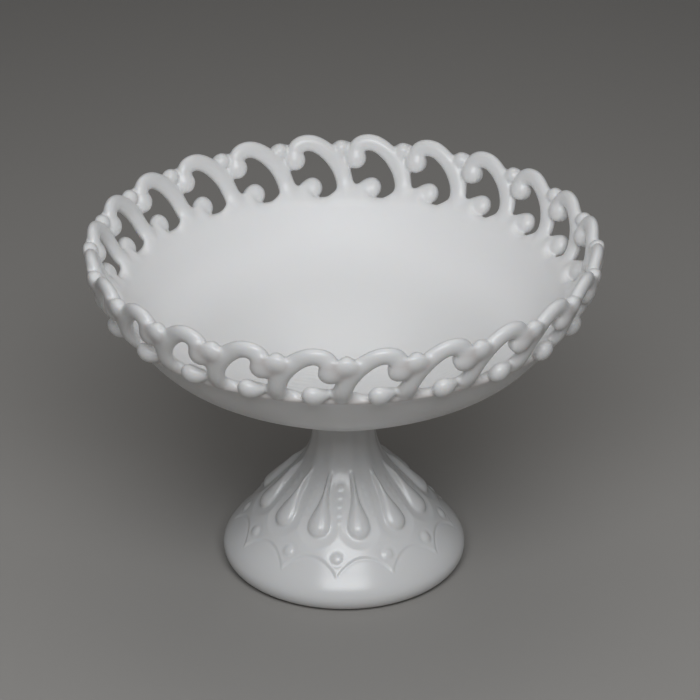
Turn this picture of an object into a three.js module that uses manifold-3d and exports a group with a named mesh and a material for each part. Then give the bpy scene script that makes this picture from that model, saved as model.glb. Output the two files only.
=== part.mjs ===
// Footed cake stand of pressed milk glass with an open lace edge.
// Millimetres, +Z up, origin on the table at the centre of the foot.
// The dish is a shallow bowl on a hollow bell foot. Its edge carries 24 hooked scrolls,
// each ending in a curled-in ball and a bead, with one glass drop in every opening.
import * as THREE from 'three';
import { mergeVertices } from 'three/addons/utils/BufferGeometryUtils.js';
import Module from 'manifold-3d';

// Driving dimensions
const UNIT_COUNT = 24;
const LATHE_SEGMENTS = 2 * UNIT_COUNT;
const FIRST_BEAD_DEG = 0.7;
const GAP = 0.3;

const FOOT_RADIUS = 61.1;
const FOOT_ROLL_RADIUS = 7.6;
const FOOT_RING_INNER_RADIUS = 47.5;
const STEM_RADIUS = 14.6;
const STEM_TOP_HEIGHT = 86.1;
const HOLLOW_HEIGHT = 54;

const BOWL_HALF_WALL = 2.8;
const BOWL_CENTRE_HEIGHT = STEM_TOP_HEIGHT + GAP + BOWL_HALF_WALL;
const LIP_RADIUS = 111.8;
const LIP_HEIGHT = 144.5;

// The lace wall is a cone that leans out, and curves in to the bowl's slope near the lip.
// Its scrolls are laid out flat, then bent onto it.
const WALL_RADIUS = 116.9;
const WALL_HEIGHT = 150.7;
const WALL_LEAN = THREE.MathUtils.degToRad(16.7);
const WALL_CURVE_TOP = 6;
const WALL_CURVATURE = 0.02;
const FLAT_RADIUS = 120;
const PITCH = (2 * Math.PI * FLAT_RADIUS) / UNIT_COUNT;

const ROD_WIDTH = 9.2;
const ROD_THICKNESS = 7.2;
const END_BALL_RADIUS = 5.7;
const END_BALL_FLATTENING = 0.8;
const BEAD_RADIUS = 4.6;
const BEAD_HEIGHT = 20.3;
const DROP_CENTRE = 16.8;
const DROP_HEIGHT = -0.7;
const DROP_HALF_LENGTH = 8.2;
const DROP_GIRTH = 6.1;
const DROP_FLATTENING = 0.8;
const DROP_OFFSET = 0.8;
const DROP_TILT = THREE.MathUtils.degToRad(-7);
const DROP_TAPER = 1.3;

// Centre line of one scroll on the flat wall: along the rim from its left bead, and up the wall
const SCROLL_LINE = [
  [-2.1, -5],
  [-1.3, 4],
  [2.1, 13],
  [8.8, 20.3],
  [17.8, 23.6],
  [23.7, 21.4],
  [24.8, 14.8],
];

const wasm = await Module();
wasm.setup();

function milkGlass() {
  return new THREE.MeshStandardMaterial({ color: 0xe9e9e7, roughness: 0.15, metalness: 0 });
}

function namedMesh(name, geometry, turn) {
  const mesh = new THREE.Mesh(geometry, milkGlass());
  mesh.name = name;
  mesh.rotation.z = turn;
  return mesh;
}

// A closed geometry as a solid that can be joined and cut
function solid(geometry) {
  const bare = geometry.clone();
  bare.deleteAttribute('normal');
  bare.deleteAttribute('uv');
  const merged = mergeVertices(bare);
  const mesh = new wasm.Mesh({
    numProp: 3,
    vertProperties: new Float32Array(merged.attributes.position.array),
    triVerts: new Uint32Array(merged.index.array),
  });
  return new wasm.Manifold(mesh);
}

function geometryOf(part) {
  const mesh = part.getMesh();
  const geometry = new THREE.BufferGeometry();
  geometry.setAttribute('position', new THREE.BufferAttribute(mesh.vertProperties, 3));
  geometry.setIndex(new THREE.BufferAttribute(mesh.triVerts, 1));
  geometry.computeVertexNormals();
  return geometry;
}

// A lathe outline of [radius, height] points, turned about +Z
function turned(outline) {
  const points = outline.map(([radius, height]) => new THREE.Vector2(radius, height));
  return new THREE.LatheGeometry(points, LATHE_SEGMENTS).rotateX(Math.PI / 2);
}

function smoothPoints(corners, count) {
  const curve = new THREE.SplineCurve(corners.map(([x, y]) => new THREE.Vector2(x, y)));
  return curve.getPoints(count).map((point) => [point.x, point.y]);
}

function arcPoints(centre, radius, startDeg, endDeg, count) {
  const points = [];
  for (let i = 0; i <= count; i += 1) {
    const angle = THREE.MathUtils.degToRad(startDeg + ((endDeg - startDeg) * i) / count);
    points.push([centre[0] + radius * Math.cos(angle), centre[1] + radius * Math.sin(angle)]);
  }
  return points;
}

// Bell foot: flat resting ring, rolled edge, concave bell, slim stem; hollow underneath
function footGeometry() {
  const rollCentre = [FOOT_RADIUS - FOOT_ROLL_RADIUS, FOOT_ROLL_RADIUS];
  const roll = arcPoints(rollCentre, FOOT_ROLL_RADIUS, -90, 35, 5);
  const bell = smoothPoints([[53.4, 19.8], [35.3, 39.7], [17.9, 59.5], [STEM_RADIUS, 70]], 6);
  const stemTop = [[STEM_RADIUS, 80], [STEM_RADIUS + 1.6, STEM_TOP_HEIGHT], [0, STEM_TOP_HEIGHT]];
  const hollow = smoothPoints(
    [[0, HOLLOW_HEIGHT], [12, 51], [32.5, 35], [46.5, 14], [FOOT_RING_INNER_RADIUS, 0]],
    7,
  );
  hollow[0][0] = 0;
  return turned([...hollow, ...roll, ...bell, ...stemTop]);
}

// The bowl wall's middle line, from the axis to the centre of the rounded lip
function bowlMiddle() {
  return new THREE.SplineCurve([
    new THREE.Vector2(0, BOWL_CENTRE_HEIGHT),
    new THREE.Vector2(16, BOWL_CENTRE_HEIGHT + 0.2),
    new THREE.Vector2(30, 91.2),
    new THREE.Vector2(54.5, 102.3),
    new THREE.Vector2(79.2, 116.1),
    new THREE.Vector2(94.5, 126.2),
    new THREE.Vector2(103, 134.8),
    new THREE.Vector2(LIP_RADIUS, LIP_HEIGHT),
  ]);
}

// Wall of even thickness with a round lip; growth moves its whole surface outwards
function bowlGeometry(growth) {
  const middle = bowlMiddle();
  const half = BOWL_HALF_WALL + growth;
  const stations = 9;
  const under = [];
  const inside = [];
  for (let i = 0; i <= stations; i += 1) {
    const point = middle.getPoint(i / stations);
    const along = i === 0 ? new THREE.Vector2(1, 0) : middle.getTangent(i / stations);
    under.push([point.x + half * along.y, point.y - half * along.x]);
    inside.unshift([Math.max(point.x - half * along.y, 0), point.y + half * along.x]);
  }
  const end = middle.getTangent(1);
  const lean = THREE.MathUtils.radToDeg(Math.atan2(end.y, end.x));
  const lip = arcPoints([LIP_RADIUS, LIP_HEIGHT], half, lean - 90, lean + 90, 4).slice(1, -1);
  return turned([...under, ...lip, ...inside]);
}

// Flat layout to lace wall: x runs along the rim, y up the wall, z out of it
function bend(geometry) {
  const bent = geometry.clone();
  const position = bent.attributes.position;
  for (let i = 0; i < position.count; i += 1) {
    const angle = position.getX(i) / FLAT_RADIUS;
    const up = position.getY(i);
    const out = position.getZ(i);
    const curveIn = WALL_CURVATURE * Math.max(WALL_CURVE_TOP - up, 0) ** 2;
    const cone = WALL_RADIUS + up * Math.sin(WALL_LEAN) - curveIn;
    const radius = cone + out * Math.cos(WALL_LEAN);
    const height = WALL_HEIGHT + up * Math.cos(WALL_LEAN) - out * Math.sin(WALL_LEAN);
    position.setXYZ(i, radius * Math.cos(angle), radius * Math.sin(angle), height);
  }
  return bent;
}

function rodGeometry(growth) {
  const points = SCROLL_LINE.map(([x, y]) => new THREE.Vector3(x, y, 0));
  const line = new THREE.CatmullRomCurve3(points, false, 'centripetal');
  const section = new THREE.Shape();
  section.absellipse(0, 0, ROD_THICKNESS / 2 + growth, ROD_WIDTH / 2 + growth, 0, 2 * Math.PI);
  return new THREE.ExtrudeGeometry(section, {
    steps: 9,
    curveSegments: 3,
    bevelEnabled: false,
    extrudePath: line,
  });
}

function nextRodCutter() {
  return solid(rodGeometry(GAP).translate(PITCH, 0, 0));
}

function endBall() {
  const [x, y] = SCROLL_LINE[SCROLL_LINE.length - 1];
  const ball = new THREE.SphereGeometry(END_BALL_RADIUS, 7, 5);
  return solid(ball.scale(1, 1, END_BALL_FLATTENING).translate(x, y, 0));
}

function bead() {
  return solid(new THREE.SphereGeometry(BEAD_RADIUS, 6, 5).translate(PITCH, BEAD_HEIGHT, 0));
}

// Hooked rod, the ball it curls into and the bead in the notch; clear of bowl and neighbour
function scrollGeometry(bowlCutter) {
  const hook = solid(rodGeometry(0)).add(endBall()).add(bead()).subtract(nextRodCutter());
  return geometryOf(solid(bend(geometryOf(hook))).subtract(bowlCutter));
}

// Teardrop lying along the rim, round end to the left, its tail reaching the next scroll
function dropOutline(stations) {
  const outline = [];
  for (let i = 0; i <= stations; i += 1) {
    const turn = (Math.PI * i) / stations;
    const swell = Math.sin(turn) * Math.sin(turn / 2) ** DROP_TAPER;
    outline.push(new THREE.Vector2(DROP_GIRTH * swell, -DROP_HALF_LENGTH * Math.cos(turn)));
  }
  outline[0].x = 0;
  outline[stations].x = 0;
  return outline;
}

function dropGeometry(bowlCutter) {
  const drop = new THREE.LatheGeometry(dropOutline(6), 7).rotateZ(Math.PI / 2 + DROP_TILT);
  drop.scale(1, 1, DROP_FLATTENING).translate(DROP_CENTRE, DROP_HEIGHT, DROP_OFFSET);
  const clearOfRod = geometryOf(solid(drop).subtract(nextRodCutter()));
  return geometryOf(solid(bend(clearOfRod)).subtract(bowlCutter));
}

function laceEdge() {
  const bowlCutter = solid(bowlGeometry(GAP));
  const scroll = scrollGeometry(bowlCutter);
  const drop = dropGeometry(bowlCutter);
  const edge = new THREE.Group();
  for (let i = 0; i < UNIT_COUNT; i += 1) {
    const number = String(i + 1).padStart(2, '0');
    const turn = (2 * Math.PI * i) / UNIT_COUNT;
    edge.add(namedMesh(`rim_scroll_${number}`, scroll, turn));
    edge.add(namedMesh(`rim_drop_${number}`, drop, turn));
  }
  return edge;
}

function dish() {
  const group = new THREE.Group();
  group.rotation.z = THREE.MathUtils.degToRad(FIRST_BEAD_DEG);
  group.add(namedMesh('bowl', bowlGeometry(0), 0));
  group.add(laceEdge());
  return group;
}

const cakeStand = new THREE.Group();
cakeStand.add(namedMesh('pedestal_foot', footGeometry(), 0));
cakeStand.add(dish());

export default cakeStand;
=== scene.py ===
"""Footed cake stand of opaque white pressed glass, with an open lace edge of hooked scrolls.

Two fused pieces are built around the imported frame: the bowl, whose lace edge grows out of its lip in
one seamless skin, and the bell foot with its moulded relief. Shapes are worked out in millimetres;
meshes, lights, the camera and textures are in metres. Places on the bowl's wall are (u, t, n):
u along the rim, t up the wall, n out of it. On the foot, along is the length up its outline.
"""

import math

import bpy
import numpy as np
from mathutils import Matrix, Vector


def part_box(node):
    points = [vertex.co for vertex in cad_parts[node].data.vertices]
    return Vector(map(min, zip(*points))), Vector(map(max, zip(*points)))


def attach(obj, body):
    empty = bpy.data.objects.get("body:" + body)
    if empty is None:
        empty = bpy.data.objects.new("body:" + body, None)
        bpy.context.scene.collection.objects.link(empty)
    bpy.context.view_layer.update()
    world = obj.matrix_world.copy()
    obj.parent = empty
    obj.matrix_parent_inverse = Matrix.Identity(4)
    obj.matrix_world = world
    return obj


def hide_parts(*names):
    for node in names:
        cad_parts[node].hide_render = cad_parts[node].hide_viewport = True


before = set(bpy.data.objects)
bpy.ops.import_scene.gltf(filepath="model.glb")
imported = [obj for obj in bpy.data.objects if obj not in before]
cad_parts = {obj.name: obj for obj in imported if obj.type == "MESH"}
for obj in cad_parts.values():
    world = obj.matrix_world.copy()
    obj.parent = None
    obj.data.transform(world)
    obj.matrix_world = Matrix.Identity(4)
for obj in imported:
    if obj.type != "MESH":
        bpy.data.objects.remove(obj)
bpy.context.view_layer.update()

MM = 0.001
UNITS = sum(name.startswith("rim_scroll_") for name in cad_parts)
FIRST_BEAD = math.radians(0.7)

# The bowl's wall: half its thickness, and its middle line from the axis to the top of the lace
HALF_WALL = 2.8
BOWL_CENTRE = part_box("bowl")[0].z / MM + HALF_WALL
WALL_POINTS = [
    (0.0, BOWL_CENTRE),
    (16.0, BOWL_CENTRE + 0.2),
    (30.0, BOWL_CENTRE + 2.2),
    (54.5, 102.3),
    (79.2, 116.1),
    (93.0, 125.4),
    (102.0, 135.4),
    (109.2, 144.4),
    (113.2, 148.4),
    (117.0, 153.2),
    (119.7, 160.0),
    (123.2, 171.5),
    (125.4, 178.9),
]
DROP_LEVEL = 151.3  # the height where t is 0

# The lip: thicker than the wall, round on the inside, with a corner outside
LIP_CORNER = -4.2  # its t
LIP_THICKENING = 0.6
LIP_THICKENS = (-12.5, -7)  # the t where it starts and ends
LIP_TOP_NORMAL = (0.968, -0.25)  # in t and n
LIP_INNER_ROUNDING = 8.5
LIP_OUTER_ROUNDING = 3.5
LIP_CLIMBS = [(5.0, 10, 1), (3.0, 12, 21), (2.0, 23, 30)]  # rise of the inner edge, from u, to u

# One scroll on the flattened wall, from its left bead: centre line and section
FLAT_RADIUS = 120.0
PITCH = 2 * math.pi * FLAT_RADIUS / UNITS
SCROLL_POINTS = [
    (-2.3, -5.0),
    (-1.4, 4.0),
    (2.3, 12.8),
    (9.0, 20.0),
    (17.3, 23.5),
    (22.9, 21.4),
    (24.0, 15.0),
]
ROD_HALF_WIDTH = 4.3
ROD_RISING_SWELL = 0.3
ROD_RISES = (0.65, 0.35)  # shares of its length between which the swell grows
ROD_END_TAPER = 0.4
ROD_ENDS = (0.78, 0.98)  # shares of its length between which the taper grows
ROD_HALF_DEPTH = 3.1
ROD_LEAN_IN = 0.9
ROD_LEANS = (10, 23)  # the t where the lean starts and ends
BALL_RADIUS = 5.4
BALL_HALF_DEPTH = 4.5
BALL_OFFSET = -0.8
BEAD_HEIGHT = 20.1
BEAD_OFFSET = 0.6
BEAD_RADIUS = 4.2
BEAD_DEPTH_OUTSIDE = 3.1
BEAD_DEPTH_INSIDE = 4.3
DROP_HEAD = (15.3, 0.1)
DROP_TAIL = (23.5, -1.1)
DROP_OFFSET = 1.5
DROP_HEAD_RADIUS = 5.2
DROP_TAIL_RADIUS = 1.7
DROP_TAPER = 1.9
DROP_HALF_DEPTH = 4.0
DROP_TAIL_SINK = 1.8

# Widths of the fillets between the pieces, and what they gain in some places
NEIGHBOUR_FILLET = 2.0
LEAST_FILLET = 0.05
ROOT_FILLET = 0.6
ROOT_FILLET_STARTS = (-12, -6)  # the t between which it grows
ROOT_FILLET_MID_DEPTH = 3.4
BALL_FILLET = 2.2
BALL_FILLET_OUTSIDE = 6.5
BEAD_FILLET = 1.3
BEAD_FILLET_OUTSIDE = 7.5
DROP_FILLET = 1.5
DROP_FILLET_INSIDE = 7.0
DROP_FILLET_TAIL = 3.5

LIP_SHADE_DEPTH = 2.2  # how deep a crease the lip's face counts as, for the painted shade on it

# Lattice for the lace's skin, and the rings of the bowl below it
CELLS = 30
CELL = PITCH / CELLS
LACE_LOW = -14.0
LACE_HIGH = 30.0
LACE_CELLS_UP = math.ceil((LACE_HIGH - LACE_LOW) / CELL)
DEPTH_LOW = -6.0
DEPTH_CELLS = math.ceil(15.0 / CELL)
BORDER_T = LACE_LOW + CELL / 2
RING_STEPS = np.concatenate([[1.5], np.linspace(1.5, 4.0, 60)])
HUB_CLEARANCE = 2.5
HALVED_RINGS = 3  # rings with half the border's points, before those with a quarter

# The foot: its outline, and the grid of its skin
FOOT_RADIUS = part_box("pedestal_foot")[1].x / MM
STEM_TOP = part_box("pedestal_foot")[1].z / MM
ROLL_RADIUS = 7.6
RING_INNER = 47.5
STEM_RADIUS = 15.7
BELL_POINTS = [(53.4, 19.8), (44.5, 29.8), (35.3, 39.7), (25.6, 49.6), (18.9, 59.5)]
STEM_POINTS = [(STEM_RADIUS + 0.3, 69), (STEM_RADIUS, 77)]
JOIN_POINTS = [(STEM_RADIUS + 1.4, 83), (STEM_RADIUS + 5, STEM_TOP + 0.3), (26, STEM_TOP + 1.9)]
HOLLOW_TOP = 54.0
HOLLOW_POINTS = [(-12, 51.5), (0, HOLLOW_TOP), (12, 51.5), (32.5, 35), (46.5, 14), (RING_INNER + 0.6, 1.2)]
HOLLOW_ROWS = 22
RELIEF_HEIGHTS = (12, 62)
RELIEF_STEP = 0.55
MOTIFS = UNITS // 2
MOTIF_PITCH = 2 * math.pi / MOTIFS
FOOT_COLUMNS = MOTIFS * 40
FIRST_STAR = math.radians(-93.9)

# The foot's relief. Levels are heights on the foot, and grooves are (depth, width)
TEAR_LEVEL = 36.0
TEAR_HEAD_RADIUS = 5.6
TEAR_TAIL_HALF_WIDTH = 1.2
TEAR_TAPER = 11.0
TEAR_HEIGHT = 2.6
TEAR_GROOVE = (0.15, 1.4)
TEAR_GROOVE_OFFSET = 0.9
TEAR_FADES = (18, 30)  # how far above the level it starts and ends
STAR_HEIGHT = 0.45
STAR_TIP_LEVEL = 16.7
STAR_HOLLOW_RADIUS = 9.7  # of the hollow round each teardrop, where the stars stop
STAR_EDGE_SOFTNESS = 0.9
SKIRT_TOP_LEVEL = 25.0
SKIRT_ARCH_POWER = 0.6  # below 1, the arches' tops are flatter and their cusps sharper
SKIRT_GROOVE = (0.12, 0.8)
DOT_LEVEL = 24.7
DOT_RADIUS = 2.7
DOT_HEIGHT = 0.65
DOT_RING_RADIUS = 4.0
DOT_RING_GROOVE = (0.12, 0.6)
COLUMN_BEADS = [(51.0, 1.9), (47.7, 1.75), (44.4, 1.6), (41.2, 1.45), (38.3, 1.3)]  # level, radius
COLUMN_BEAD_PROUD = 0.1  # height for each mm of radius
FLUTE_DEPTH = 0.22
FLUTE_END_LEVEL = 76
DOME_POWER = 0.7  # above 0.5, a dome meets the foot less steeply than a ball would
# How much painted shade the foot's grooves get, for each mm of their depth
FOOT_GROOVE_SHADE_GAIN = 1.2

# Milk glass
COOL_WHITE = (0.825, 0.825, 0.82, 1)
WARM_WHITE = (0.855, 0.85, 0.842, 1)
# Painted warm shade, mixed in where creases, grooves and the lip's face lie in shade
CREASE_SHADE_TINT = (0.60, 0.54, 0.51, 1)
# Painted light: between these radii the inside of the bowl's wall is painted whiter, to brighten its
# sides, and is also rougher
PAINTED_GLOW_WHITE = (0.91, 0.905, 0.9, 1)
GLOW_ZONE_ROUGHNESS = 0.2
GLOW_ZONE_RISES = (0.066, 0.096)  # radii
GLOW_ZONE_FALLS = (0.117, 0.104)  # radii
BOWL_ROUGHNESS = (0.285, 0.34)
FOOT_ROUGHNESS = (0.215, 0.266)
CLOUD_SCALE = 16.0
PATCH_SCALE = 45.0
FLOW_SCALE = 60.0
GRAIN_SCALE = 900.0
RIPPLE_SCALE = 95.0
RIPPLE_CENTRE = (0, -0.008, 0)
RIPPLE_REACH = (0.040, 0.018)  # distances from the centre where they start and are full

# Studio
LIGHT_TARGET = Vector((0, 0, 0.1))
DAYLIGHT = (0.95, 0.972, 1.0)
SOFTBOX_WHITE = (1.0, 0.99, 0.98)
AIR = (0.30, 0.31, 0.33, 1)
AIR_STRENGTH = 0.05
FLOOR_HALF_SIZE = 4.0
FLOOR_GAP = 0.0002
FLOOR_COLOUR = (0.39, 0.375, 0.355, 1)
CAMERA_PLACE = (0.003, -1.4916, 0.8729)
CAMERA_TILT_DOWN = 26.93
CAMERA_LENS = 174.7


def arc_lengths(line):
    """Length along the line at each of its points."""
    return np.concatenate([[0], np.cumsum(np.linalg.norm(np.diff(line, axis=0), axis=1))])


def smooth_line(points, samples):
    """A curvature-continuous curve through the points, evenly sampled by chord length."""
    knots = np.array(points, float)
    reach = arc_lengths(knots)
    steps = np.diff(reach)
    slopes = np.diff(knots, axis=0) / steps[:, None]
    count = len(knots)
    system = np.eye(count)
    turns = np.zeros_like(knots)
    for i in range(1, count - 1):
        system[i, i - 1 : i + 2] = steps[i - 1], 2 * (steps[i - 1] + steps[i]), steps[i]
        turns[i] = 6 * (slopes[i] - slopes[i - 1])
    bends = np.linalg.solve(system, turns)
    places = np.linspace(0, reach[-1], samples)
    i = np.clip(np.searchsorted(reach, places, side="right") - 1, 0, count - 2)
    left = ((reach[i + 1] - places) / steps[i])[:, None]
    right = 1 - left
    cubic = (left**3 - left) * bends[i] + (right**3 - right) * bends[i + 1]
    return left * knots[i] + right * knots[i + 1] + cubic * (steps[i] ** 2)[:, None] / 6


def unit_tangents(line, lengths):
    tangents = np.gradient(line, lengths, axis=0)
    return tangents / np.linalg.norm(tangents, axis=1)[:, None]


def look_up(place, lengths, columns):
    """Both columns of a sampled line, at places along it."""
    return [np.interp(place, lengths, columns[:, k]) for k in (0, 1)]


def smoothstep(low, high, x):
    """0 at low, 1 at high and smooth between them, whichever of the two is larger."""
    s = np.clip((x - low) / (high - low), 0, 1)
    return s * s * (3 - 2 * s)


def blend_min(a, b, k):
    """The nearer of two surfaces, with a fillet about k wide where they meet."""
    h = np.maximum(k - np.abs(a - b), 0) / k
    return np.minimum(a, b) - h**3 * k / 6


def blend_max(a, b, k):
    return -blend_min(-a, -b, k)


# ---------------------------------------------------------------- the wall's own coordinates

mirrored = [(-r, z) for r, z in reversed(WALL_POINTS[1:])]
whole_line = smooth_line(mirrored + WALL_POINTS, 16001)
half_line = whole_line[np.searchsorted(whole_line[:, 0], 0.0) :]
half_line[0, 0] = 0.0
half_lengths = arc_lengths(half_line)
WALL_T = half_lengths - np.interp(DROP_LEVEL, half_line[:, 1], half_lengths)
WALL_TANGENT = unit_tangents(half_line, WALL_T)


def on_wall(t, n):
    """Radius and height of the place t along the wall's middle line and n out of it."""
    r, z = look_up(t, WALL_T, half_line)
    along_r, along_z = look_up(t, WALL_T, WALL_TANGENT)
    return np.maximum(r + n * along_z, 0), z - n * along_r


def to_space(u, t, n):
    r, z = on_wall(np.broadcast_to(t, u.shape), n)
    angle = u / FLAT_RADIUS + FIRST_BEAD
    return np.stack([r * np.cos(angle), r * np.sin(angle), z], -1)


# ---------------------------------------------------------------- the lace as a distance field

scroll_line = smooth_line(SCROLL_POINTS, 49)


def nearest_on_segment(x, y, start, end):
    """Offsets from the segment's nearest place, and that place's share of its length."""
    (ax, ay), (bx, by) = start, end
    dx, dy = bx - ax, by - ay
    share = np.clip(((x - ax) * dx + (y - ay) * dy) / (dx * dx + dy * dy), 0, 1)
    return x - ax - share * dx, y - ay - share * dy, share


def distance_to_line(x, y, line):
    """Distance to the nearest place on the line, and that place's share of its length."""
    best = np.full(x.shape, np.inf)
    share = np.zeros(x.shape)
    steps = len(line) - 1
    for index in range(steps):
        off_x, off_y, part = nearest_on_segment(x, y, line[index], line[index + 1])
        away = off_x**2 + off_y**2
        share = np.where(away < best, (index + part) / steps, share)
        best = np.minimum(best, away)
    return np.sqrt(best), share


def squashed_ball(x, y, z, radius, half_depth):
    return np.sqrt(x * x + y * y + (z * radius / half_depth) ** 2) - radius


def wall_field(u, t, n):
    """The bowl's wall with its lip, whose inner edge climbs towards the rods beside it."""
    inner = -n - HALF_WALL - LIP_THICKENING * smoothstep(*LIP_THICKENS, t)
    outer = n - HALF_WALL
    climb = sum(rise * smoothstep(start, end, u % PITCH) for rise, start, end in LIP_CLIMBS)
    edge = LIP_CORNER + climb * smoothstep(2.0, -2.5, n)
    top = LIP_TOP_NORMAL[0] * (t - edge) + LIP_TOP_NORMAL[1] * (n - HALF_WALL)
    return blend_max(blend_max(inner, top, LIP_INNER_ROUNDING), outer, LIP_OUTER_ROUNDING)


def rods_field(u, t, n):
    """The hooked rods, as deep as the lip is thick, and leaning in a little at their tops."""
    off = n + LIP_THICKENING / 2 + ROD_LEAN_IN * smoothstep(*ROD_LEANS, t)
    rods = None
    for shift in (-PITCH, 0, PITCH):
        across, share = distance_to_line(u - shift, t, scroll_line)
        swell = ROD_RISING_SWELL * smoothstep(*ROD_RISES, share)
        half_width = ROD_HALF_WIDTH + swell - ROD_END_TAPER * smoothstep(*ROD_ENDS, share)
        rod = squashed_ball(across, 0, off, half_width, ROD_HALF_DEPTH)
        rods = rod if rods is None else blend_min(rods, rod, NEIGHBOUR_FILLET)
    return rods


def ball_field(u, t, n):
    """The ball that a rod curls into."""
    end_u, end_t = SCROLL_POINTS[-1]
    return squashed_ball(u - end_u, t - end_t, n - BALL_OFFSET, BALL_RADIUS, BALL_HALF_DEPTH)


def bead_field(u, t, n):
    """The bead in the notch between two rods, flatter on the outside."""
    off = n - BEAD_OFFSET
    depth = np.where(off > 0, BEAD_DEPTH_OUTSIDE, BEAD_DEPTH_INSIDE)
    return squashed_ball(u, t - BEAD_HEIGHT, off, BEAD_RADIUS, depth)


def drop_field(u, t, n):
    """The drop lying on the lip, and how far towards its tail each place is."""
    x, y, to_tail = nearest_on_segment(u, t, DROP_HEAD, DROP_TAIL)
    radius = DROP_HEAD_RADIUS + (DROP_TAIL_RADIUS - DROP_HEAD_RADIUS) * to_tail**DROP_TAPER
    z = (n - DROP_OFFSET + DROP_TAIL_SINK * to_tail**2) * DROP_HEAD_RADIUS / DROP_HALF_DEPTH
    return np.sqrt(x * x + y * y + z * z) - radius, to_tail


def root_fillet(t, n):
    """Fillet between a rod and the lip: widest in mid depth, so that their faces stay flush."""
    mid_depth = smoothstep(ROD_HALF_DEPTH, 1.0, np.abs(n + LIP_THICKENING / 2))
    full = ROOT_FILLET + ROOT_FILLET_MID_DEPTH * mid_depth
    return LEAST_FILLET + smoothstep(*ROOT_FILLET_STARTS, t) * full


def drop_fillet(to_tail, inside, outside):
    """Fillet round a drop: wide inside the bowl, and where the tail runs out."""
    gain_inside = DROP_FILLET_INSIDE * inside * smoothstep(0.0, 0.6, to_tail)
    return DROP_FILLET + gain_inside + DROP_FILLET_TAIL * outside * to_tail**3


def on_inside(n):
    """1 on the inner side of the wall's middle, 0 on its outer side."""
    return smoothstep(1.0, -2.0, n)


def lace_field(u, t, n):
    """Distance to the glass, and how much painted shade each place gets: on the outside, how deep it lies
    in the fillets between its pieces, and a band on the lip's face.
    """
    wall = wall_field(u, t, n)
    rods = rods_field(u, t, n)
    outside = smoothstep(-1.0, 2.5, n)
    glass = blend_min(wall, rods, root_fillet(t, n))
    plain = np.minimum(wall, rods)
    for shift in (-PITCH, 0):
        ball = ball_field(u - shift, t, n)
        glass = blend_min(glass, ball, BALL_FILLET + BALL_FILLET_OUTSIDE * outside)
        drop, to_tail = drop_field(u - shift, t, n)
        glass = blend_min(glass, drop, drop_fillet(to_tail, on_inside(n), outside))
        plain = np.minimum(np.minimum(plain, ball), drop)
    for shift in (0, PITCH):
        bead = bead_field(u - shift, t, n)
        glass = blend_min(glass, bead, BEAD_FILLET + BEAD_FILLET_OUTSIDE * outside)
        plain = np.minimum(plain, bead)
    # painted shade on the lip's face, below the rods and drops
    lip_shade = smoothstep(0.8, 0.1, wall) * smoothstep(-7.5, -5.5, t)
    return glass, (plain - glass + LIP_SHADE_DEPTH * lip_shade) * outside


def gradient(points, step=0.02):
    columns = []
    for axis in range(3):
        shift = np.zeros(3)
        shift[axis] = step
        ahead = lace_field(*(points + shift).T)[0]
        behind = lace_field(*(points - shift).T)[0]
        columns.append((ahead - behind) / (2 * step))
    return np.stack(columns, -1)


def settle(points, rounds=4, least_slope=0.2):
    """Moves each point onto the glass's surface."""
    for _ in range(rounds):
        slope = gradient(points)
        value = lace_field(*points.T)[0]
        points = points - slope * (value / np.maximum((slope**2).sum(1), least_slope))[:, None]
    return points


# ---------------------------------------------------------------- skin of one unit of the lace

CORNERS = [(i, j, k) for i in (0, 1) for j in (0, 1) for k in (0, 1)]
CELLS_ROUND_EDGE = {
    0: [(0, -1, -1), (0, 0, -1), (0, 0, 0), (0, -1, 0)],
    1: [(-1, 0, -1), (-1, 0, 0), (0, 0, 0), (0, 0, -1)],
    2: [(-1, -1, 0), (0, -1, 0), (0, 0, 0), (-1, 0, 0)],
}


def corner(values, di, dj, dk):
    """The value at one corner of every cell. The lattice closes on itself along the rim."""
    rows, layers = values.shape[1] - 1, values.shape[2] - 1
    return np.roll(values, -di, 0)[:, dj : dj + rows, dk : dk + layers]


def net_points(values):
    """One point in each cell that the surface crosses, at the mean of its edge crossings."""
    total = np.zeros(corner(values, 0, 0, 0).shape + (3,))
    count = np.zeros(total.shape[:3])
    for a in CORNERS:
        for axis in range(3):
            if a[axis]:
                continue
            b = tuple(1 if k == axis else a[k] for k in range(3))
            va, vb = corner(values, *a), corner(values, *b)
            crossed = (va < 0) != (vb < 0)
            share = np.where(crossed, va / np.where(crossed, va - vb, 1), 0)
            place = np.array(a, float) + share[..., None] * (np.array(b) - np.array(a))
            total += place * crossed[..., None]
            count += crossed
    active = count > 0
    cells = np.argwhere(active)
    ids = np.full(active.shape, -1)
    ids[active] = np.arange(len(cells))
    return ids, cells + total[active] / count[active][:, None]


def crossed_edges(values, axis):
    """Lattice edges along one axis that the surface crosses, and that have four cells round them."""
    crossed = (values < 0) != (np.roll(values, -1, axis) < 0)
    for other in (1, 2):
        edge = [slice(None)] * 3
        edge[other] = -1
        crossed[tuple(edge)] = False
        if other != axis:
            edge[other] = 0
            crossed[tuple(edge)] = False
    return np.argwhere(crossed)


def net_quads(values, ids):
    """Quads round every crossed edge of the lattice: point ids, and their unit's shift."""
    quads, shifts = [], []
    for axis, ring in CELLS_ROUND_EDGE.items():
        at = crossed_edges(values, axis)
        leaving = (values[tuple(at.T)] < 0)[:, None]
        cells = at[:, None, :] + np.array(ring)[None]
        shift = np.where(cells[..., 0] < 0, -1, 0)
        cells[..., 0] %= values.shape[0]
        found = ids[cells[..., 0], cells[..., 1], cells[..., 2]]
        quads.append(np.where(leaving, found, found[:, ::-1]))
        shifts.append(np.where(leaving, shift, shift[:, ::-1]))
    return np.concatenate(quads), np.concatenate(shifts)


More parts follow.
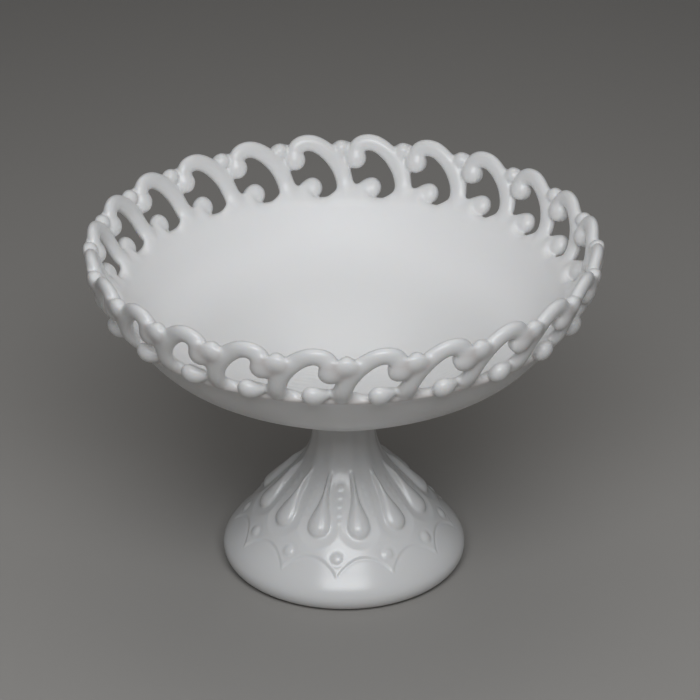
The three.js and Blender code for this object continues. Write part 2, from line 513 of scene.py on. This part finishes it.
def lace_unit():
    """Points (u, t, n) and quads of one unit, with the ids of its lower border outside and inside."""
    u = np.arange(CELLS) * CELL
    t = LACE_LOW + np.arange(LACE_CELLS_UP + 1) * CELL
    n = DEPTH_LOW + np.arange(DEPTH_CELLS + 1) * CELL
    values = lace_field(*np.meshgrid(u, t, n, indexing="ij"))[0]
    ids, places = net_points(values)
    quads, shifts = net_quads(values, ids)
    points = settle(places * CELL + np.array([0, LACE_LOW, DEPTH_LOW]))
    borders = []
    for side in (HALF_WALL, -HALF_WALL):
        row = ids[:, 0, int((side - DEPTH_LOW) // CELL)]
        points[row] = np.stack([u + CELL / 2, 0 * u + BORDER_T, 0 * u + side], -1)
        borders.append(row)
    return points, quads, shifts, borders


# ---------------------------------------------------------------- meshes


class Draft:
    """Points, faces and named values on the points, gathered for one mesh."""

    def __init__(self):
        self.count = 0
        self.points = []
        self.faces = []
        self.values = {}

    def add(self, points, **values):
        """Adds points, and returns their ids."""
        ids = self.count + np.arange(len(points))
        self.count += len(points)
        self.points.append(points)
        for label, value in values.items():
            self.values.setdefault(label, []).append(np.broadcast_to(value, len(points)))
        return ids

    def make(self, name):
        """The smooth-shaded object, in metres."""
        mesh = bpy.data.meshes.new(name)
        mesh.from_pydata((np.concatenate(self.points) * MM).tolist(), [], self.faces)
        mesh.validate()
        mesh.shade_smooth()
        for label, values in self.values.items():
            layer = mesh.attributes.new(label, "FLOAT", "POINT")
            layer.data.foreach_set("value", np.concatenate(values).astype(np.float32))
        piece = bpy.data.objects.new(name, mesh)
        bpy.context.scene.collection.objects.link(piece)
        return piece


def strip(lower, upper):
    """Quads between two closed rings of the same count, facing out when upper is above lower."""
    return np.stack([lower, np.roll(lower, -1), np.roll(upper, -1), upper], -1).tolist()


def halving_strip(lower, upper):
    """Triangles from a ring down to one of half its count."""
    a, b, c = upper[0::2], upper[1::2], np.roll(upper[0::2], -1)
    d, e = lower, np.roll(lower, -1)
    parts = [(d, b, a), (d, e, b), (e, c, b)]
    return np.concatenate([np.stack(part, -1) for part in parts]).tolist()


def fan(hub, ring):
    """Triangles from a ring down to one point."""
    return np.stack([np.full_like(ring, hub), np.roll(ring, -1), ring], -1).tolist()


def flipped(faces):
    return [face[::-1] for face in faces]


# ---------------------------------------------------------------- the bowl


def add_lace(draft):
    """The lace's units round the rim. Returns its lower border as two rings, outside and inside."""
    points, quads, shifts, borders = lace_unit()
    # how much painted shade each point gets, from the fillets and the lip's face
    crease = lace_field(*points.T)[1]
    for unit in range(UNITS):
        moved = points + np.array([unit * PITCH, 0, 0])
        draft.add(to_space(*moved.T), crease=crease, inside=on_inside(points[:, 2]))
        draft.faces += (quads + ((unit + shifts) % UNITS) * len(points)).tolist()
    starts = np.arange(UNITS)[:, None] * len(points)
    return [(starts + border).ravel() for border in borders]


def add_dish_side(draft, side, border):
    """One side of the bowl below the lace: rings from the border down to the axis."""
    lengths = BORDER_T - np.cumsum(RING_STEPS)
    lengths = lengths[lengths > WALL_T[0] + HUB_CLEARANCE]
    values = {"crease": 0.0, "inside": float(side < 0)}
    upper, faces = border, []
    for index, t in enumerate(lengths):
        step = 2 if index < HALVED_RINGS else 4
        places = (np.arange(UNITS * CELLS // step) * step + step / 2 - 0.5) * CELL
        lower = draft.add(to_space(places, t, side), **values)
        join = strip if len(upper) == len(lower) else halving_strip
        faces += join(lower, upper)
        upper = lower
    hub = draft.add(to_space(np.zeros(1), WALL_T[0], side), **values)[0]
    faces += fan(hub, upper)
    draft.faces += faces if side > 0 else flipped(faces)


def bowl_with_lace():
    draft = Draft()
    outer_border, inner_border = add_lace(draft)
    add_dish_side(draft, HALF_WALL, outer_border)
    add_dish_side(draft, -HALF_WALL, inner_border)
    return draft.make("bowl_with_lace_edge")


# ---------------------------------------------------------------- the foot


def foot_line():
    """Outside of the foot, from the resting ring up to the fillet under the bowl."""
    angles = np.radians(np.linspace(-90, 30, 9))
    centre = np.array([FOOT_RADIUS - ROLL_RADIUS, ROLL_RADIUS])
    roll = centre + ROLL_RADIUS * np.stack([np.cos(angles), np.sin(angles)], -1)
    return smooth_line(roll.tolist() + BELL_POINTS + STEM_POINTS + JOIN_POINTS, 4001)


foot_outside = foot_line()
FOOT_LENGTHS = arc_lengths(foot_outside)
FOOT_TANGENT = unit_tangents(foot_outside, FOOT_LENGTHS)


def length_at(height):
    return float(np.interp(height, foot_outside[:, 1], FOOT_LENGTHS))


def radius_at(height):
    return float(np.interp(height, foot_outside[:, 1], foot_outside[:, 0]))


def groove(distance, depth, width):
    return -depth * np.exp(-((distance / width) ** 2))


def dome(depth_in, height):
    """A round cushion whose rim is where depth_in is 0 and whose top is where it is 1."""
    q = np.clip(depth_in, 0, 1)
    return height * (q * (2 - q)) ** DOME_POWER


def nearest_motif(angle, first):
    """Angle to the nearest of the evenly spaced motifs."""
    return (angle - first + MOTIF_PITCH / 2) % MOTIF_PITCH - MOTIF_PITCH / 2


def teardrops(x, y):
    """Raised drops with long tails, each in a soft groove: height and groove."""
    spread = TEAR_HEAD_RADIUS - TEAR_TAIL_HALF_WIDTH
    tail = TEAR_TAIL_HALF_WIDTH + spread * np.exp(-((np.maximum(y, 0) / TEAR_TAPER) ** 2))
    width = np.where(y < 0, TEAR_HEAD_RADIUS, tail)
    beside_tail = np.abs(x) + TEAR_HEAD_RADIUS - tail
    outside = np.where(y < 0, np.hypot(x, y), beside_tail) - TEAR_HEAD_RADIUS
    fade = 1 - smoothstep(*TEAR_FADES, y)
    dip = groove(outside - TEAR_GROOVE_OFFSET, *TEAR_GROOVE)
    return fade * dome(-outside / width, TEAR_HEIGHT), fade * dip


def skirt_edge(star):
    """How far along the foot the plain skirt ends: arches between the tips of the stars."""
    share = np.abs(star) / (MOTIF_PITCH / 2)
    low, high = length_at(STAR_TIP_LEVEL), length_at(SKIRT_TOP_LEVEL)
    return low + (high - low) * np.sin(share * math.pi / 2) ** SKIRT_ARCH_POWER


def stars(star, along, x, y, scale):
    """Raised stars between the skirt and the hollows round the teardrops: height and groove."""
    hollow = np.where(y < 0, np.hypot(x, y), np.abs(x) * scale) - STAR_HOLLOW_RADIUS
    above_skirt = along - skirt_edge(star)
    raised = smoothstep(-STAR_EDGE_SOFTNESS, STAR_EDGE_SOFTNESS, above_skirt) * smoothstep(-2, 2, hollow)
    fade = 1 - smoothstep(-2, 5, y)
    return STAR_HEIGHT * raised * fade, groove(above_skirt + STAR_EDGE_SOFTNESS, *SKIRT_GROOVE)


def dots(across, along):
    """A ringed dot in each star, and a column of small beads above it: height and groove."""
    away = np.hypot(across, along - length_at(DOT_LEVEL))
    height = dome(1 - away / DOT_RADIUS, DOT_HEIGHT)
    ring = groove(away - DOT_RING_RADIUS, *DOT_RING_GROOVE)
    for level, radius in COLUMN_BEADS:
        away = np.hypot(across, along - length_at(level))
        height = height + dome(1 - away / radius, COLUMN_BEAD_PROUD * radius)
    return height, ring


def flutes(petal, y):
    """Faint flutes that carry on from the teardrops up the stem."""
    end = length_at(FLUTE_END_LEVEL) - length_at(TEAR_LEVEL)
    fade = smoothstep(14, 30, y) * (1 - smoothstep(end, 50, y))
    return FLUTE_DEPTH * fade * np.cos(petal * MOTIFS)


def relief(angle, along, radius):
    """Height of the moulded pattern over the plain foot, and how deep in a groove each place is."""
    star = nearest_motif(angle, FIRST_STAR)
    petal = nearest_motif(angle, FIRST_STAR + MOTIF_PITCH / 2)
    x, y = radius * petal, along - length_at(TEAR_LEVEL)
    scale = radius_at(TEAR_LEVEL) / radius
    parts = [teardrops(x, y), stars(star, along, x, y, scale), dots(radius * star, along)]
    height = sum(part[0] for part in parts) + flutes(petal, y)
    grooves = sum(part[1] for part in parts)
    return height + grooves, -grooves


def foot_rows():
    """Rings from the top of the hollow, round the resting ring and up the outside to the bowl.

    Each row is its radius and height, its outward normal, and its length along the outside. The
    normal and the length are 0 in the hollow, which has no relief.
    """
    hollow = smooth_line(HOLLOW_POINTS, 400)
    hollow = hollow[hollow[:, 0] > 1.0]
    picks = np.linspace(0, len(hollow) - 1, HOLLOW_ROWS).astype(int)
    ring_edge = [(RING_INNER + 0.15, 0.35), (RING_INNER + 0.6, 0.0)]
    rows = [(r, z, 0, 0, 0) for r, z in [*hollow[picks], *ring_edge]]
    low, high = (length_at(height) for height in RELIEF_HEIGHTS)
    stations = np.concatenate([
        np.linspace(0, low, 16, endpoint=False),
        np.arange(low, high, RELIEF_STEP),
        np.linspace(high, FOOT_LENGTHS[-1], 26),
    ])
    for along in stations:
        r, z = look_up(along, FOOT_LENGTHS, foot_outside)
        along_r, along_z = look_up(along, FOOT_LENGTHS, FOOT_TANGENT)
        rows.append((r, z, along_z, -along_r, along))
    return rows


def bell_foot():
    draft = Draft()
    angles = np.arange(FOOT_COLUMNS) * 2 * math.pi / FOOT_COLUMNS
    rows = foot_rows()
    rings = []
    for r, z, normal_r, normal_z, along in rows:
        lift, depth = relief(angles, along, r) if along > 0 else np.zeros((2, FOOT_COLUMNS))
        across, up = r + lift * normal_r, z + lift * normal_z
        ring = np.stack([across * np.cos(angles), across * np.sin(angles), up], -1)
        # the grooves' depth sets the painted shade in them
        rings.append(draft.add(ring, crease=FOOT_GROOVE_SHADE_GAIN * depth))
    for lower, upper in zip(rings, rings[1:]):
        draft.faces += strip(lower, upper)
    hubs = np.array([[0, 0, HOLLOW_TOP], [0, 0, rows[-1][1]]])
    hollow_hub, top_hub = draft.add(hubs, crease=0.0)
    draft.faces += fan(hollow_hub, rings[0]) + flipped(fan(top_hub, rings[-1]))
    return draft.make("bell_foot")


# ---------------------------------------------------------------- milk glass


class Nodes:
    """A short way to add and link shader nodes."""

    def __init__(self, material):
        material.use_nodes = True
        self.tree = material.node_tree
        self.tree.nodes.clear()

    def add(self, kind, **values):
        """A node with these values of its properties and inputs."""
        node = self.tree.nodes.new(kind)
        for name, value in values.items():
            if hasattr(node, name):
                setattr(node, name, value)
            else:
                node.inputs[name.replace("_", " ")].default_value = value
        return node

    def feed(self, target, value):
        """Gives an input a number, a colour or another node's output."""
        if isinstance(value, (int, float, tuple)):
            target.default_value = value
        else:
            self.tree.links.new(value, target)

    def math(self, operation, a, b):
        node = self.add("ShaderNodeMath", operation=operation)
        self.feed(node.inputs[0], a)
        self.feed(node.inputs[1], b)
        return node.outputs[0]

    def vector_math(self, operation, a, b):
        node = self.add("ShaderNodeVectorMath", operation=operation)
        self.feed(node.inputs[0], a)
        self.feed(node.inputs[1], b)
        return node.outputs[0]

    def remap(self, source, low, high, to_low, to_high):
        node = self.add("ShaderNodeMapRange", interpolation_type="SMOOTHSTEP")
        for index, value in enumerate((source, low, high, to_low, to_high)):
            self.feed(node.inputs[index], value)
        return node.outputs[0]

    def mix_colour(self, factor, a, b):
        node = self.add("ShaderNodeMix", data_type="RGBA")
        for index, value in ((0, factor), (6, a), (7, b)):
            self.feed(node.inputs[index], value)
        return node.outputs[2]

    def attribute(self, name):
        return self.add("ShaderNodeAttribute", attribute_name=name).outputs["Fac"]

    def noise(self, place, scale, detail):
        node = self.add("ShaderNodeTexNoise", Scale=scale, Detail=detail)
        self.feed(node.inputs["Vector"], place)
        return node.outputs["Fac"]

    def distance_from(self, place, centre, stretch):
        """Distance from a centre after stretching each axis."""
        moved = self.vector_math("SUBTRACT", place, centre)
        scaled = self.vector_math("MULTIPLY", moved, stretch)
        length = self.add("ShaderNodeVectorMath", operation="LENGTH")
        self.feed(length.inputs[0], scaled)
        return length.outputs["Value"]

    def finish(self, shader):
        output = self.add("ShaderNodeOutputMaterial")
        self.feed(output.inputs["Surface"], shader.outputs[0])


def painted_glow_zone(nodes, place, inside):
    """Where the bowl's inner wall gets a painted glow and a rougher finish: 1 on the inside of the wall, 0
    on the bowl's middle and on the lace.
    """
    radius = nodes.distance_from(place, (0, 0, 0), (1, 1, 0))
    rising = nodes.remap(radius, *GLOW_ZONE_RISES, 0.0, 1.0)
    falling = nodes.remap(radius, *GLOW_ZONE_FALLS, 0.0, 1.0)
    return nodes.math("MULTIPLY", nodes.math("MULTIPLY", rising, falling), inside)


def plunger_ripples(nodes, place, inside):
    """Faint wavy bands that the press leaves across the middle of the bowl's floor."""
    bands = nodes.add("ShaderNodeTexWave", wave_type="BANDS", bands_direction="Y", Scale=RIPPLE_SCALE)
    bands.inputs["Distortion"].default_value = 5.0
    bands.inputs["Detail Scale"].default_value = 1.2
    nodes.feed(bands.inputs["Vector"], nodes.vector_math("MULTIPLY", place, (0.25, 1, 1)))
    patches = nodes.remap(nodes.noise(place, PATCH_SCALE, 1.0), 0.4, 0.65, 0.15, 1.0)
    away = nodes.distance_from(place, RIPPLE_CENTRE, (0.42, 1, 0))
    middle = nodes.remap(away, *RIPPLE_REACH, 0.0, 1.2)
    for share in (inside, middle):
        patches = nodes.math("MULTIPLY", patches, share)
    return nodes.math("MULTIPLY", bands.outputs["Fac"], patches)


def skin(nodes, place, inside, ripples):
    """Normal of a fire-polished skin: slow waves, fine grain and, on the bowl, press ripples."""
    flow = nodes.math("MULTIPLY", nodes.noise(place, FLOW_SCALE, 2.0), 0.6)
    grain = nodes.math("MULTIPLY", nodes.noise(place, GRAIN_SCALE, 2.0), 0.03)
    height = nodes.math("ADD", flow, grain)
    if ripples:
        height = nodes.math("ADD", height, plunger_ripples(nodes, place, inside))
    bump = nodes.add("ShaderNodeBump", Strength=0.35, Distance=0.0005)
    nodes.feed(bump.inputs["Height"], height)
    return bump.outputs["Normal"]


def milk_glass(name, roughness, ripples):
    """Opaque white pressed glass: glossy and a little soft under the skin, with painted warm shade in its
    creases and grooves and, on the bowl, a painted glow on the inner wall.
    """
    material = bpy.data.materials.new(name)
    nodes = Nodes(material)
    place = nodes.add("ShaderNodeTexCoord").outputs["Object"]
    inside = nodes.attribute("inside")
    glow_zone = painted_glow_zone(nodes, place, inside)
    cloud = nodes.noise(place, CLOUD_SCALE, 1.0)
    # painted warm shade in the creases, the grooves and on the lip's face
    crease = nodes.remap(nodes.attribute("crease"), 0.1, 3.0, 0.0, 0.7)
    colour = nodes.mix_colour(crease, nodes.mix_colour(cloud, COOL_WHITE, WARM_WHITE), CREASE_SHADE_TINT)
    gloss = nodes.remap(cloud, 0.2, 0.8, *roughness)
    matt = nodes.math("MULTIPLY", glow_zone, GLOW_ZONE_ROUGHNESS)
    shader = nodes.add("ShaderNodeBsdfPrincipled", IOR=1.5)
    shader.inputs["Subsurface Weight"].default_value = 0.25
    shader.inputs["Subsurface Radius"].default_value = (1.0, 0.85, 0.7)
    shader.inputs["Subsurface Scale"].default_value = 0.003
    # painted light: the bowl's inner wall is painted whiter
    nodes.feed(shader.inputs["Base Color"], nodes.mix_colour(glow_zone, colour, PAINTED_GLOW_WHITE))
    nodes.feed(shader.inputs["Roughness"], nodes.math("ADD", gloss, matt))
    nodes.feed(shader.inputs["Normal"], skin(nodes, place, inside, ripples))
    nodes.finish(shader)
    return material


# ---------------------------------------------------------------- stage, lights and camera


def area_light(name, shape, place, size, watts, colour):
    data = bpy.data.lights.new(name, "AREA")
    data.shape = shape
    data.size, data.size_y = size
    data.energy = watts
    data.color = colour
    lamp = bpy.data.objects.new(name, data)
    lamp.location = place
    aim = LIGHT_TARGET - Vector(place)
    lamp.rotation_euler = aim.to_track_quat("-Z", "Y").to_euler()
    bpy.context.scene.collection.objects.link(lamp)


def studio():
    area_light("front_window", "RECTANGLE", (0.03, -1.024, 1.055), (0.95, 0.6), 11.6, DAYLIGHT)
    area_light("rear_softbox", "ELLIPSE", (0.0, 0.55, 1.35), (1.0, 1.0), 1.7, SOFTBOX_WHITE)
    area_light("overhead_softbox", "RECTANGLE", (0.0, 0.05, 0.85), (0.7, 0.6), 0.7, SOFTBOX_WHITE)
    world = bpy.data.worlds.new("studio_air")
    world.use_nodes = True
    background = world.node_tree.nodes["Background"]
    background.inputs["Color"].default_value = AIR
    background.inputs["Strength"].default_value = AIR_STRENGTH
    bpy.context.scene.world = world


def pale_floor():
    mesh = bpy.data.meshes.new("floor")
    half = FLOOR_HALF_SIZE
    corners = [(-half, -half, 0), (half, -half, 0), (half, half, 0), (-half, half, 0)]
    mesh.from_pydata(corners, [], [(0, 1, 2, 3)])
    floor = bpy.data.objects.new("floor", mesh)
    floor.location.z = -FLOOR_GAP
    bpy.context.scene.collection.objects.link(floor)
    material = bpy.data.materials.new("floor_paper")
    nodes = Nodes(material)
    shader = nodes.add("ShaderNodeBsdfPrincipled", Roughness=0.85)
    shader.inputs["Base Color"].default_value = FLOOR_COLOUR
    nodes.finish(shader)
    mesh.materials.append(material)


def camera():
    data = bpy.data.cameras.new("camera")
    data.sensor_width = 36.0
    data.lens = CAMERA_LENS
    view = bpy.data.objects.new("camera", data)
    view.location = CAMERA_PLACE
    view.rotation_euler = (math.radians(90 - CAMERA_TILT_DOWN), 0, 0)
    bpy.context.scene.collection.objects.link(view)
    bpy.context.scene.camera = view


# ---------------------------------------------------------------- assembly

camera()
studio()
pale_floor()
bpy.context.scene.view_settings.view_transform = "Standard"

bowl = bowl_with_lace()
bowl.data.materials.append(milk_glass("milk_glass_bowl", BOWL_ROUGHNESS, True))
foot = bell_foot()
foot.data.materials.append(milk_glass("milk_glass_foot", FOOT_ROUGHNESS, False))

for piece in (bowl, foot):
    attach(piece, "root")
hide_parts(*[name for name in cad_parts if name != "pedestal_foot"])
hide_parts("pedestal_foot")
